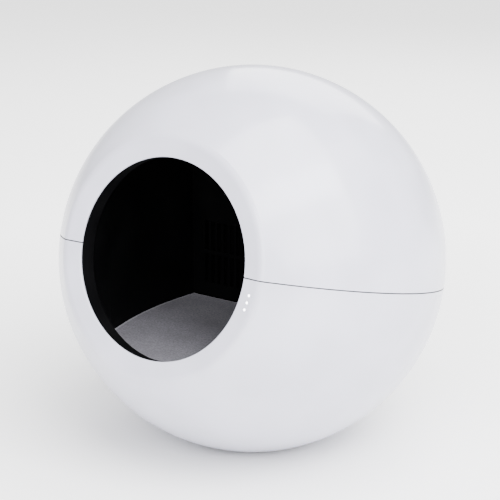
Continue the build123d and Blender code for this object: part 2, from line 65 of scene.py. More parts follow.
SLOTS = {part["node"]: part["material_slot"] for part in frame["record"]["subparts"]}

log = logging.getLogger("litter_box")


# ------------------------------------------------------------------------------------------ places
@dataclass(frozen=True)
class Ball:
    """The ball that every shell piece is part of, read from the frame."""

    centre: Vector
    radius: float

    @classmethod
    def from_frame(cls) -> Ball:
        """Reads the ball's radius from the base shell's width and its centre from the hood.

        Returns:
            The ball, in the row frame.
        """
        base_low, base_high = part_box("base_shell")
        _, hood_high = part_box("hood_shell")
        radius = (base_high.x - base_low.x) / 2
        return cls(Vector((0, hood_high.y - radius, hood_high.z - radius)), radius)

    @property
    def to_row(self) -> Matrix:
        """The matrix from ball coordinates to the row frame."""
        return Matrix.Translation(self.centre) @ Matrix.Rotation(-LEAN, 4, "X")


BALL = Ball.from_frame()


# ------------------------------------------------------------------------------- colours and nodes
def srgb(code: str) -> tuple[float, float, float, float]:
    """Turns an sRGB hex code into a linear colour.

    Args:
        code: Six hex digits, with or without a leading hash sign.

    Returns:
        Linear red, green and blue, and an alpha of one.
    """
    digits = code.lstrip("#")
    channels = [int(digits[i : i + 2], 16) / 255 for i in (0, 2, 4)]
    linear = [c / 12.92 if c <= 0.04045 else ((c + 0.055) / 1.055) ** 2.4 for c in channels]
    return (*linear, 1.0)


def per_metre(size_mm: float) -> float:
    """The texture scale that makes a pattern repeat about every size_mm."""
    return 1.0 / (size_mm * MM)


def add(tree: bpy.types.NodeTree, kind: str, settings: dict[str, Any] | None = None, **inputs: Any) -> Any:
    """Adds a node with its settings, values and links.

    Args:
        tree: The node tree that gets it.
        kind: The node's type.
        settings: Properties of the node itself.
        inputs: Socket names, with _ for a space, or i0, i1 and so on for an index. A socket is linked,
            a node is linked by its first output in use, and any other value is set.

    Returns:
        The new node.
    """
    node = tree.nodes.new(kind)
    for key, value in (settings or {}).items():
        setattr(node, key, value)
    for key, value in inputs.items():
        by_index = key[0] == "i" and key[1:].isdigit()
        socket = node.inputs[int(key[1:])] if by_index else node.inputs[key.replace("_", " ")]
        if isinstance(value, bpy.types.Node):
            value = next(output for output in value.outputs if output.enabled)
        if isinstance(value, bpy.types.NodeSocket):
            tree.links.new(value, socket)
        else:
            socket.default_value = value
    return node


NOISE, SPREAD, MIX = "ShaderNodeTexNoise", "ShaderNodeMapRange", "ShaderNodeMix"
BUMP, CELLS, SHADER = "ShaderNodeBump", "ShaderNodeTexVoronoi", "ShaderNodeBsdfPrincipled"
COLOUR = {"data_type": "RGBA"}
MIDDLE = {"From_Min": 0.3, "From_Max": 0.7}
WHITE = "#FFFFFF"


# --------------------------------------------------------------------------------------- materials
@dataclass(frozen=True)
class Surface:
    """What every finish shares: a named material with a shader on its output."""

    name: str

    def build(self) -> bpy.types.Material:
        """Makes the material.

        Returns:
            The material, its nodes linked.
        """
        material = bpy.data.materials.new(self.name)
        material.use_nodes = True
        tree = material.node_tree
        tree.nodes.clear()
        place = add(tree, "ShaderNodeTexCoord").outputs["Object"]
        add(tree, "ShaderNodeOutputMaterial", Surface=self.shade(tree, place))
        return material

    def shade(self, tree: bpy.types.NodeTree, place: bpy.types.NodeSocket) -> bpy.types.Node:
        """Makes the shader that the finish needs.

        Args:
            tree: The material's node tree.
            place: Where on the object a point is, in metres.

        Returns:
            The shader node.
        """
        raise NotImplementedError


@dataclass(frozen=True)
class GlossAbs(Surface):
    """Polished injection-moulded ABS: an even pale face, clear soft reflections, faint sink waves."""

    name: str = "abs_polished_white"
    tint: str = "#C6C6D4"
    deep: str = "#BFBFCD"
    roughness: float = 0.19
    dusty: float = 0.06
    wave_mm: float = 70.0
    wave_deep_mm: float = 0.06
    dust_mm: float = 1.6
    dust_deep_mm: float = 0.004

    def shade(self, tree: bpy.types.NodeTree, place: bpy.types.NodeSocket) -> bpy.types.Node:
        """Waves bend the reflections a little, and a fine dust breaks the gloss.

        Args:
            tree: The material's node tree.
            place: Where on the object a point is, in metres.

        Returns:
            The shader node.
        """
        wave = add(tree, NOISE, Vector=place, Scale=per_metre(self.wave_mm), Detail=1.0)
        dust = add(tree, NOISE, Vector=place, Scale=per_metre(self.dust_mm), Detail=4.0, Roughness=0.6)
        tone = add(tree, SPREAD, Value=wave, From_Min=0.35, From_Max=0.65)
        dull = self.roughness + self.dusty
        rough = add(
            tree, SPREAD, Value=dust, From_Min=0.4, From_Max=0.75, To_Min=self.roughness, To_Max=dull
        )
        waves = add(tree, BUMP, Height=wave, Distance=self.wave_deep_mm * MM, Strength=0.35)
        skin = add(
            tree, BUMP, Height=dust, Distance=self.dust_deep_mm * MM, Strength=0.4, Normal=waves
        )
        return add(
            tree,
            SHADER,
            Base_Color=add(tree, MIX, COLOUR, i0=tone, i6=srgb(self.tint), i7=srgb(self.deep)),
            Roughness=rough,
            IOR=1.52,
            Coat_Weight=0.25,
            Coat_Roughness=0.08,
            Normal=skin,
        )


@dataclass(frozen=True)
class SparkPolymer(Surface):
    """Spark-eroded moulded polymer: a fine leathery grain that scatters light and hides scuffs."""

    tint: str = "#030304"
    worn: str = "#060607"
    roughness: float = 0.6
    grain_mm: float = 1.1
    depth_mm: float = 0.05
    specular: float = 0.06
    cloud_mm: float = 60.0

    def shade(self, tree: bpy.types.NodeTree, place: bpy.types.NodeSocket) -> bpy.types.Node:
        """Grain gives the dull skin, and wide clouds give its handled places.

        Args:
            tree: The material's node tree.
            place: Where on the object a point is, in metres.

        Returns:
            The shader node.
        """
        grain = add(tree, NOISE, Vector=place, Scale=per_metre(self.grain_mm), Detail=3.0, Roughness=0.6)
        cloud = add(tree, NOISE, Vector=place, Scale=per_metre(self.cloud_mm), Detail=3.0)
        worn = add(tree, SPREAD, Value=cloud, From_Min=0.4, From_Max=0.7)
        gloss, dull = self.roughness - 0.05, self.roughness + 0.07
        rough = add(tree, SPREAD, Value=cloud, **MIDDLE, To_Min=gloss, To_Max=dull)
        return add(
            tree,
            SHADER,
            Base_Color=add(tree, MIX, COLOUR, i0=worn, i6=srgb(self.tint), i7=srgb(self.worn)),
            Roughness=rough,
            Specular_IOR_Level=self.specular,
            Normal=add(tree, BUMP, Height=grain, Distance=self.depth_mm * MM, Strength=0.6),
        )


@dataclass(frozen=True)
class PressedFoam(Surface):
    """Die-cut pressed EVA foam: a soft grey sheet with an open pebbled grain and trodden patches.

    The real pebbles are about 1.5 mm wide. They are drawn at twice that, or they would not show.
    """

    name: str = "eva_foam_pebbled_grey"
    tint: str = "#88878E"
    deep: str = "#605E65"
    grain_mm: float = 3.0
    grain_deep_mm: float = 0.22
    fleck_mm: float = 2.4
    cloud_mm: float = 45.0
    cloud_deep_mm: float = 0.4

    def shade(self, tree: bpy.types.NodeTree, place: bpy.types.NodeSocket) -> bpy.types.Node:
        """Pebbles and flecks give the grain, and wide clouds give the trodden patches.

        Args:
            tree: The material's node tree.
            place: Where on the object a point is, in metres.

        Returns:
            The shader node.
        """
        pebble = add(tree, CELLS, {"feature": "SMOOTH_F1"}, Vector=place, Scale=per_metre(self.grain_mm))
        fleck = add(tree, NOISE, Vector=place, Scale=per_metre(self.fleck_mm), Detail=4.0, Roughness=0.7)
        cloud = add(tree, NOISE, Vector=place, Scale=per_metre(self.cloud_mm), Detail=3.0)
        flecks = add(tree, SPREAD, Value=fleck, From_Min=0.35, From_Max=0.7)
        trodden = add(tree, SPREAD, Value=cloud, From_Min=0.35, From_Max=0.75, To_Max=0.45)
        body = add(tree, MIX, COLOUR, i0=flecks, i6=srgb(self.tint), i7=srgb(self.deep))
        rough = add(tree, SPREAD, Value=pebble, From_Min=0.1, From_Max=0.8, To_Min=0.92, To_Max=0.7)
        soft = add(tree, BUMP, Height=cloud, Distance=self.cloud_deep_mm * MM, Strength=0.3)
        return add(
            tree,
            SHADER,
            Base_Color=add(tree, MIX, COLOUR, i0=trodden, i6=body, i7=srgb(self.deep)),
            Roughness=rough,
            Specular_IOR_Level=0.3,
            Normal=add(
                tree,
                BUMP,
                Height=pebble,
                Distance=self.grain_deep_mm * MM,
                Strength=0.8,
                Normal=soft,
            ),
        )


@dataclass(frozen=True)
class SoftRubber(Surface):
    """Compression-moulded rubber: dark, dull, with a faint bloom on its high spots."""

    tint: str = "#161618"
    bloom: str = "#2A2A2D"
    roughness: float = 0.72
    bloom_mm: float = 7.0
    pore_mm: float = 0.8
    pore_deep_mm: float = 0.03

    def shade(self, tree: bpy.types.NodeTree, place: bpy.types.NodeSocket) -> bpy.types.Node:
        """Pores dull the skin, and the bloom greys it in patches.

        Args:
            tree: The material's node tree.
            place: Where on the object a point is, in metres.

        Returns:
            The shader node.
        """
        bloom = add(tree, NOISE, Vector=place, Scale=per_metre(self.bloom_mm), Detail=4.0, Roughness=0.65)
        pores = add(tree, NOISE, Vector=place, Scale=per_metre(self.pore_mm), Detail=2.0)
        patch = add(tree, SPREAD, Value=bloom, From_Min=0.45, From_Max=0.75)
        gloss, dull = self.roughness - 0.08, self.roughness + 0.1
        rough = add(tree, SPREAD, Value=bloom, **MIDDLE, To_Min=gloss, To_Max=dull)
        return add(
            tree,
            SHADER,
            Base_Color=add(tree, MIX, COLOUR, i0=patch, i6=srgb(self.tint), i7=srgb(self.bloom)),
            Roughness=rough,
            Specular_IOR_Level=0.3,
            Normal=add(tree, BUMP, Height=pores, Distance=self.pore_deep_mm * MM, Strength=0.5),
        )


@dataclass(frozen=True)
class ZincSteel(Surface):
    """Turned, zinc-plated steel: a cool grey metal with fine turning lines and a slightly cloudy skin."""

    name: str = "steel_zinc_plated"
    tint: str = "#C3C5C8"
    cloudy: str = "#A9ACB0"
    line_mm: float = 0.6
    line_deep_mm: float = 0.01
    stretch: tuple[float, float, float] = (0.12, 1.0, 0.12)
    cloud_mm: float = 9.0

    def shade(self, tree: bpy.types.NodeTree, place: bpy.types.NodeSocket) -> bpy.types.Node:
        """Lines stretched across the shaft's length streak its gloss.

        Args:
            tree: The material's node tree.
            place: Where on the object a point is, in metres.

        Returns:
            The shader node.
        """
        cloud = add(tree, NOISE, Vector=place, Scale=per_metre(self.cloud_mm), Detail=4.0)
        along = add(tree, "ShaderNodeMapping", Vector=place, Scale=self.stretch)
        lines = add(tree, NOISE, Vector=along, Scale=per_metre(self.line_mm), Detail=2.0)
        tone = add(tree, SPREAD, Value=cloud, From_Min=0.35, From_Max=0.7)
        return add(
            tree,
            SHADER,
            Base_Color=add(tree, MIX, COLOUR, i0=tone, i6=srgb(self.tint), i7=srgb(self.cloudy)),
            Metallic=1.0,
            Roughness=add(tree, SPREAD, Value=lines, **MIDDLE, To_Min=0.26, To_Max=0.42),
            Normal=add(tree, BUMP, Height=lines, Distance=self.line_deep_mm * MM, Strength=0.4),
        )


@dataclass(frozen=True)
class NaturalAcetal(Surface):
    """Hobbed natural acetal: waxy off-white, a little see-through at its edges, with cutter marks."""

    name: str = "acetal_hobbed_natural"
    tint: str = "#DEDBD0"
    deep: str = "#D2CEC0"
    cloud_mm: float = 14.0
    mark_mm: float = 0.7
    mark_deep_mm: float = 0.015
    light_reach: tuple[float, float, float] = (4.0 * MM, 3.5 * MM, 2.8 * MM)

    def shade(self, tree: bpy.types.NodeTree, place: bpy.types.NodeSocket) -> bpy.types.Node:
        """Light sinks in a few millimetres, and the cutter's marks break the gloss.

        Args:
            tree: The material's node tree.
            place: Where on the object a point is, in metres.

        Returns:
            The shader node.
        """
        cloud = add(tree, NOISE, Vector=place, Scale=per_metre(self.cloud_mm), Detail=2.0)
        marks = add(tree, NOISE, Vector=place, Scale=per_metre(self.mark_mm), Detail=2.0)
        return add(
            tree,
            SHADER,
            Base_Color=add(tree, MIX, COLOUR, i0=cloud, i6=srgb(self.tint), i7=srgb(self.deep)),
            Subsurface_Weight=0.12,
            Subsurface_Radius=self.light_reach,
            Roughness=add(tree, SPREAD, Value=marks, **MIDDLE, To_Min=0.36, To_Max=0.48),
            Normal=add(tree, BUMP, Height=marks, Distance=self.mark_deep_mm * MM, Strength=0.4),
        )


@dataclass(frozen=True)
class CircuitBoard(Surface):
    """Glass-epoxy board under solder mask: deep green with copper tracks that show as paler lines."""

    name: str = "epoxy_board_green"
    mask: str = "#0E4A2A"
    track: str = "#1C6B3D"
    pitch_mm: float = 12.8
    track_high_mm: float = 0.04
    weave_mm: float = 0.8

    def shade(self, tree: bpy.types.NodeTree, place: bpy.types.NodeSocket) -> bpy.types.Node:
        """The tracks stand a little proud under a clear mask.

        Args:
            tree: The material's node tree.
            place: Where on the object a point is, in metres.

        Returns:
            The shader node.
        """
        tracks = add(
            tree,
            "ShaderNodeTexBrick",
            {"offset": 0.37, "squash": 1.4, "squash_frequency": 3},
            Vector=place,
            Scale=per_metre(self.pitch_mm),
            Mortar_Size=0.03,
        ).outputs["Fac"]
        weave = add(tree, NOISE, Vector=place, Scale=per_metre(self.weave_mm))
        return add(
            tree,
            SHADER,
            Base_Color=add(tree, MIX, COLOUR, i0=tracks, i6=srgb(self.mask), i7=srgb(self.track)),
            Roughness=add(tree, SPREAD, Value=weave, **MIDDLE, To_Min=0.28, To_Max=0.4),
            Coat_Weight=0.4,
            Normal=add(tree, BUMP, Height=tracks, Distance=self.track_high_mm * MM, Strength=0.5),
        )


@dataclass(frozen=True)
class LightPipe(Surface):
    """Moulded acrylic light pipe: a milky dot that glows white when the box is on."""

    name: str = "acrylic_light_pipe"
    tint: str = "#F4F6FA"
    haze: str = "#E6EAF2"
    glow: float = 9.0
    haze_mm: float = 1.2

    def shade(self, tree: bpy.types.NodeTree, place: bpy.types.NodeSocket) -> bpy.types.Node:
        """Haze in the acrylic clouds its gloss under the glow.

        Args:
            tree: The material's node tree.
            place: Where on the object a point is, in metres.

        Returns:
            The shader node.
        """
        haze = add(tree, NOISE, Vector=place, Scale=per_metre(self.haze_mm), Detail=2.0)
        return add(
            tree,
            SHADER,
            Base_Color=add(tree, MIX, COLOUR, i0=haze, i6=srgb(self.tint), i7=srgb(self.haze)),
            Roughness=add(tree, SPREAD, Value=haze, **MIDDLE, To_Min=0.18, To_Max=0.3),
            Emission_Color=srgb(WHITE),
            Emission_Strength=self.glow,
        )


@dataclass(frozen=True)
class CharcoalFoam(Surface):
    """Open-cell foam soaked in activated charcoal: a black sponge with visible pores."""

    name: str = "charcoal_foam"
    pit: str = "#060606"
    strut: str = "#232323"
    pore_mm: float = 1.8
    pore_deep_mm: float = 0.8

    def shade(self, tree: bpy.types.NodeTree, place: bpy.types.NodeSocket) -> bpy.types.Node:
        """Each cell's middle is painted darker, as painted shade in its hollow, between paler struts.

        Args:
            tree: The material's node tree.
            place: Where on the object a point is, in metres.

        Returns:
            The shader node.
        """
        pores = add(tree, CELLS, {"feature": "F1"}, Vector=place, Scale=per_metre(self.pore_mm))
        # Painted shade: the middle of each pore is darker than the struts around it.
        pit_shade_mask = add(tree, SPREAD, Value=pores, From_Min=0.1, From_Max=0.6)
        return add(
            tree,
            SHADER,
            Base_Color=add(tree, MIX, COLOUR, i0=pit_shade_mask, i6=srgb(self.pit), i7=srgb(self.strut)),
            Roughness=0.97,
            Normal=add(tree, BUMP, Height=pores, Distance=self.pore_deep_mm * MM, Strength=0.9),
        )


@dataclass(frozen=True)
class PaperSweep(Surface):
    """Matt white paper sweep with a painted glow that grows away from the ball, so that its far parts read
    white.
    """

    name: str = "paper_sweep_white"
    tint: str = "#FCFCFC"
    fibre: str = "#F8F8F8"
    fibre_mm: float = 2.0
    dark_within: float = 0.35
    lit_beyond: float = 1.1
    glow: float = 1.0

    def shade(self, tree: bpy.types.NodeTree, place: bpy.types.NodeSocket) -> bpy.types.Node:
        """The glow grows from none under the ball to its full strength a stride away.

        Args:
            tree: The material's node tree.
            place: Where on the object a point is, in metres.

        Returns:
            The shader node.
        """
        fibre = add(tree, NOISE, Vector=place, Scale=per_metre(self.fibre_mm), Detail=4.0)
        away = add(tree, "ShaderNodeVectorMath", {"operation": "LENGTH"}, i0=place)
        near, far = self.dark_within, self.lit_beyond
        # Painted glow: the paper gives off light, none near the ball and full far from it, so the floor
        # near the ball reads darker.
        painted_glow = add(tree, SPREAD, Value=away, From_Min=near, From_Max=far, To_Max=self.glow)
        return add(
            tree,
            SHADER,
            Base_Color=add(tree, MIX, COLOUR, i0=fibre, i6=srgb(self.tint), i7=srgb(self.fibre)),
            Roughness=0.9,
            Specular_IOR_Level=0.1,
            Emission_Color=srgb(WHITE),
            Emission_Strength=painted_glow,
        )


class Finish(Enum):
    """Every finish of the object. Each but the last is named as its slot in the record."""

    SHELL_WHITE = GlossAbs()
    INTERIOR_BLACK = SparkPolymer("polypropylene_spark_black")
    MAT_GREY = PressedFoam()
    RUBBER_DARK = SoftRubber("rubber_moulded_dark")
    ROLLER_TREAD = SoftRubber("urethane_cast_grey", "#4A4A4D", "#57575B", 0.6)
    STEEL = ZincSteel()
    GEAR_ACETAL = NaturalAcetal()
    BOARD_GREEN = CircuitBoard()
    LIGHT_LENS = LightPipe()
    FILTER_FOAM = CharcoalFoam()
    SENSOR_BLACK = SparkPolymer("polycarbonate_dark_window", "#08080A", "#0B0B0E", 0.18, 2.4, 0.01, 0.5)
    # The mat's rim band and rolled edge are paler than its field.
    MAT_EDGE = PressedFoam("eva_foam_paler_rim", "#A3A2A8", "#88878E")

    @property
    def slot(self) -> str:
        """The record's name for this finish."""
        return self.name.lower()


class FinishShelf:
    """Builds each finish once and hands it out."""

    def __init__(self) -> None:
        """Starts with no material made."""
        self.made: dict[Finish, bpy.types.Material] = {}

    def take(self, finish: Finish) -> bpy.types.Material:
        """Hands out the material of a finish, and makes it when it is first asked for.

        Args:
            finish: Which finish.

        Returns:
            Its material.
        """
        if finish not in self.made:
            self.made[finish] = finish.value.build()
        return self.made[finish]


SHELF = FinishShelf()


# ------------------------------------------------------------------------------------------ shapes
def merged_copy(node: str) -> bmesh.types.BMesh:
    """Copies a CAD node's mesh and joins its loose triangles.

    Args:
        node: The node's name.

    Returns:
        The copy, in the row frame.
    """
    bm = bmesh.new()
    bm.from_mesh(frame["nodes"][node].data)
    bmesh.ops.remove_doubles(bm, verts=bm.verts[:], dist=SAME_PLACE)
    return bm


def islands(bm: bmesh.types.BMesh) -> list[list[bmesh.types.BMVert]]:
    """Splits a bmesh's vertices into those of each connected solid.

    Args:
        bm: The mesh, which stays as it is.

    Returns:
        One list of vertices for each solid.
    """
    left = set(bm.verts)
    found = []
    while left:
        island = {left.pop()}
        front = list(island)
        while front:
            near = {edge.other_vert(vert) for vert in front for edge in vert.link_edges} - island
            island |= near
            front = list(near)
        left -= island
        found.append(list(island))
    return found


def box_of(verts: Iterable[bmesh.types.BMVert], axes: Matrix) -> tuple[Vector, Vector]:
    """The lowest and highest corners of some vertices in other axes.

    Args:
        verts: Vertices in the row frame.
        axes: The matrix from the other axes to the row frame.

    Returns:
        The two corners, in the other axes.
    """
    inverse = axes.inverted()
    places = [inverse @ vert.co for vert in verts]
    low = Vector([min(place[i] for place in places) for i in range(3)])
    high = Vector([max(place[i] for place in places) for i in range(3)])
    return low, high


def soften(bm: bmesh.types.BMesh, offset: float, segments: int = 2, sharper_than: float = 50) -> None:
    """Bevels the sharp edges of a bmesh.

    Args:
        bm: The closed shape.
        offset: How far the bevel reaches from the edge.
        segments: How many flats make the bevel.
        sharper_than: Edges that turn by more than this many degrees are bevelled.
    """
    limit = math.radians(sharper_than)
    sharp = [edge for edge in bm.edges if len(edge.link_faces) == 2 and edge.calc_face_angle() > limit]
    bmesh.ops.bevel(
        bm,
        geom=sharp,
        offset=offset,
        segments=segments,
        profile=0.5,
        affect="EDGES",
        material=-1,
        clamp_overlap=True,
    )


def turned(profile: list[tuple[float, float]], steps: int = 48, closed: bool = False) -> bmesh.types.BMesh:
    """Spins a profile about Z.

    Args:
        profile: Radius and height of each corner.
        steps: How many flats make the round.
        closed: Whether the last corner joins the first, as in a ring with a bore.

    Returns:
        The solid, with its normals outwards.
    """
    bm = bmesh.new()
    verts = [bm.verts.new((radius, 0, height)) for radius, height in profile]
    pairs = list(zip(verts, verts[1:]))
    if closed:
        pairs.append((verts[-1], verts[0]))
    edges = [bm.edges.new(pair) for pair in pairs]
    bmesh.ops.spin(
        bm,
        geom=verts + edges,
        cent=(0, 0, 0),
        axis=(0, 0, 1),
        angle=math.tau,
        steps=steps,
        use_merge=True,
    )
    bmesh.ops.remove_doubles(bm, verts=bm.verts[:], dist=SAME_PLACE)
    bmesh.ops.recalc_face_normals(bm, faces=bm.faces[:])
    return bm


def join(target: bmesh.types.BMesh, part: bmesh.types.BMesh, place: Matrix) -> None:
    """Moves a part to its place in another bmesh, and frees it.

    Args:
        target: The bmesh that gets the part.
        part: The part, in its own axes.
        place: The matrix from those axes to the target's.
    """
    bmesh.ops.transform(part, matrix=place, verts=part.verts[:])
    scratch = bpy.data.meshes.new("scratch")
    part.to_mesh(scratch)
    part.free()
    target.from_mesh(scratch)
    bpy.data.meshes.remove(scratch)


# ---------------------------------------------------------------------------------- sub-assemblies
@dataclass
class SubAssembly:
    """CAD nodes and new pieces that make one part of the object."""

    title: str = "sub-assembly"
    nodes: tuple[str, ...] = ()
    pieces: list[bpy.types.Object] = field(default_factory=list)

    def build(self) -> None:
        """Makes the new pieces. A group whose CAD shapes are right as they are makes none."""

    def dress(self) -> None:
        """Gives each CAD node the material of its record slot."""
        for name in self.nodes:
            mesh = frame["nodes"][name].data
            mesh.materials.clear()
            mesh.materials.append(SHELF.take(Finish[SLOTS[name].upper()]))

    def report(self) -> None:
        """Logs what the group holds."""
        log.info("%s: %d CAD nodes, %d new pieces", self.title, len(self.nodes), len(self.pieces))
        for piece in self.pieces:
            log.info("  %s: %d faces", piece.name, len(piece.data.polygons))

    def keep(
        self,
        bm: bmesh.types.BMesh,
        name: str,
        finishes: tuple[Finish, ...],
        body: str,
        stands_for: tuple[str, ...] = (),
        sharp: float = 40,
    ) -> None:
        """Turns a bmesh in the row frame into a finished piece of the object.

        Args:
            bm: The shape, which is freed.
            name: The piece's name.
            finishes: What it is made of, in the order of its material indices.
            body: The CAD body that it rides on.
            stands_for: CAD nodes that it replaces.
            sharp: Edges that turn by more than this many degrees stay sharp.
        """
        bmesh.ops.recalc_face_normals(bm, faces=bm.faces[:])
        mesh = bpy.data.meshes.new(name)
        bm.to_mesh(mesh)
        bm.free()
        mesh.shade_smooth()
        mesh.set_sharp_from_angle(angle=math.radians(sharp))
        for finish in finishes:
            mesh.materials.append(SHELF.take(finish))
        piece = bpy.data.objects.new(name, mesh)
        bpy.context.scene.collection.objects.link(piece)
        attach(piece, body)
        if stands_for:
            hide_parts(*stands_for)
        self.pieces.append(piece)


@dataclass
class Shells(SubAssembly):
    """The white ball: the base, the hood on its hinge, and the gasket in the seam."""

    title: str = "shells"
    nodes: tuple[str, ...] = ("base_shell", "hood_shell", "hinge_pin")
    gasket_node: str = "seam_gasket"
    tongue_reach: float = 0.7 * MM
    tongue_depth: float = 1.6 * MM
    bead_depth: float = 0.1 * MM
    slack: float = 0.5 * MM
    steepest: float = 0.5
    dish_front: float = -208.5 * MM

    def build(self) -> None:
        """Makes the gasket, whose soft bead fills the seam to just under the shells' surface."""
        gasket = merged_copy(self.gasket_node)
        outer = [face for face in gasket.faces if self.faces_out(face)]
        bmesh.ops.inset_region(
            gasket,
            faces=outer,
            thickness=0.0,
            depth=self.tongue_depth - self.bead_depth,
            use_even_offset=True,
        )
        self.keep(gasket, "seam_gasket_beaded", (Finish.RUBBER_DARK,), "base", (self.gasket_node,))

    def faces_out(self, face: bmesh.types.BMFace) -> bool:
        """Whether a face of the gasket is on the outside of its tongue.

        Args:
            face: A face, in the row frame.

        Returns:
            True where the face looks out of the seam, on the ball or in the dish.
        """
        to_ball = BALL.to_row.inverted()
        middle = to_ball @ face.calc_center_median()
        normal = to_ball.to_3x3() @ face.normal
        if abs(middle.z) > self.tongue_reach or abs(normal.z) > self.steepest:
            return False
        tongue_radius = BALL.radius - self.tongue_depth - self.slack
        on_ball = middle.length > tongue_radius and normal.dot(middle) > 0
        in_dish = middle.y < self.dish_front and normal.y < -self.steepest
        return on_ball or in_dish


@dataclass
class Entry(SubAssembly):
    """The collar behind the lip, the sensor over it, and three status lights in the lip."""

    title: str = "entry"
    nodes: tuple[str, ...] = ("entry_collar", "entry_sensor", "led_board")
    lights_node: str = "status_lights"
    proud: float = 0.35 * MM
    dome_angles: tuple[float, ...] = (0.0, 0.35, 0.7, 1.05, 1.4)
    dome_base: float = 0.17 * MM

    def build(self) -> None:
        """Makes one turned pipe with a low dome for each light."""
        source = merged_copy(self.lights_node)
        lights = bmesh.new()
        for island in islands(source):
            low, high = box_of(island, BALL.to_row)
            radius = (high.x - low.x) / 2
            length = high.y - low.y - self.dome_base
            dome = [(radius * math.sin(a), -self.proud * math.cos(a)) for a in self.dome_angles]
            pipe = turned([*dome, (radius, 0), (radius, length), (0, length)], steps=32)
            tip = Vector(((low.x + high.x) / 2, low.y + self.dome_base, (low.z + high.z) / 2))
            along_entry = Matrix.Rotation(-math.pi / 2, 4, "X")
            join(lights, pipe, BALL.to_row @ Matrix.Translation(tip) @ along_entry)
        source.free()
        self.keep(lights, "status_light_pipes", (Finish.LIGHT_LENS,), "base", (self.lights_node,))


@dataclass
class Chamber(SubAssembly):
    """The room inside the drum: level floor, side walls, grille, ramp and mat."""

    title: str = "chamber"
    nodes: tuple[str, ...] = (
        "floor_plate",
        "chamber_wall_left",
        "chamber_wall_right",
        "sifter_grille",
        "waste_ramp",
    )
    mat_node: str = "litter_mat"
    rim: float = 3.0 * MM
    sink: float = 0.5 * MM
    roll: float = 0.9 * MM
    flat: float = math.radians(2)

    def build(self) -> None:
        """Makes the mat: a soft sheet with a rolled cut edge, a flat rim and a shallow sunk field."""
        mat = merged_copy(self.mat_node)
        bmesh.ops.dissolve_limit(mat, angle_limit=self.flat, verts=mat.verts[:], edges=mat.edges[:])
        bmesh.ops.bevel(
            mat,
            geom=self.top_of(mat).edges[:],
            offset=self.roll,
            segments=3,
            profile=0.5,
            affect="EDGES",
            material=-1,
        )
        top = self.top_of(mat)
        for face in mat.faces:
            face.material_index = int(face is not top)
        rim = bmesh.ops.inset_region(mat, faces=[top], thickness=self.rim, use_even_offset=True)
        for face in rim["faces"]:
            face.material_index = 1
        bmesh.ops.inset_region(
            mat, faces=[top], thickness=2 * self.sink, depth=-self.sink, use_even_offset=True
        )
        top.material_index = 0
        bmesh.ops.triangulate(mat, faces=[face for face in mat.faces if len(face.verts) > 4])
        finishes = (Finish.MAT_GREY, Finish.MAT_EDGE)
        self.keep(mat, "litter_mat_sheet", finishes, "drum", (self.mat_node,))

    def top_of(self, mat: bmesh.types.BMesh) -> bmesh.types.BMFace:
        """The mat's largest upward face."""
        return max(mat.faces, key=lambda face: face.calc_area() * face.normal.z)


@dataclass
class Drum(SubAssembly):
    """The turning drum around the chamber, with its track, gear, rear shaft and home magnet."""

    title: str = "drum"
    nodes: tuple[str, ...] = (
        "drum_front",
        "drum_rear",
        "entry_track",
        "ring_gear",
        "rear_shaft",
        "shaft_clip",
        "home_magnet",
    )


@dataclass
class FrontBearing(SubAssembly):
    """The cradle in the base's front, with two rollers that carry the drum's track."""

    title: str = "front bearing"
    nodes: tuple[str, ...] = ("front_cradle", "roller_axles", "cradle_screws")
    sides: tuple[str, ...] = ("left", "right")
    bore: float = 3.05 * MM
    hub: float = 6.4 * MM
    hub_sink: float = 0.8 * MM
    groove_places: tuple[float, ...] = (0.36, 0.64)
    groove_width: float = 0.9 * MM
    groove_depth: float = 0.5 * MM
    edge: float = 0.35 * MM

    def build(self) -> None:
        """Turns each roller with a bore, sunk hub faces and two grooves in its tread."""
        for side in self.sides:
            node = f"front_roller_{side}"
            source = merged_copy(node)
            low, high = box_of(source.verts, BALL.to_row)
            source.free()
            roller = self.roller((high.x - low.x) / 2, high.y - low.y)
            middle = Vector(((low.x + high.x) / 2, high.y, (low.z + high.z) / 2))
            placed = bmesh.new()
            along_axle = Matrix.Translation(middle) @ Matrix.Rotation(math.pi / 2, 4, "X")
            join(placed, roller, BALL.to_row @ along_axle)
            finishes = (Finish.ROLLER_TREAD,)
            self.keep(placed, f"roller_{side}_grooved", finishes, f"roller_{side}", (node,))

    def roller(self, radius: float, width: float) -> bmesh.types.BMesh:
        """Turns one roller.

        Args:
            radius: The tread's radius.
            width: The roller's length along its axle.

        Returns:
            The roller, with one end at the origin.
        """
        profile = [(self.bore, self.hub_sink), (self.hub, self.hub_sink), (self.hub, 0), (radius, 0)]
        for place in self.groove_places:
            start = place * width - self.groove_width / 2
            end = start + self.groove_width
            floor = radius - self.groove_depth
            profile += [(radius, start), (floor, start), (floor, end), (radius, end)]
        top = width - self.hub_sink
        profile += [(radius, width), (self.hub, width), (self.hub, top), (self.bore, top)]
        bm = turned(profile, steps=64, closed=True)
        soften(bm, self.edge / 2)
        return bm


@dataclass
class RearDrive(SubAssembly):
    """The beam behind the drum, with its bearing, gearmotor and pinion."""

    title: str = "rear drive"
    nodes: tuple[str, ...] = (
        "rear_beam",
        "rear_bushing",
        "beam_screws",
        "gearbox",
        "drive_motor",
        "drive_pinion",
        "output_shaft",
        "home_sensor",
    )


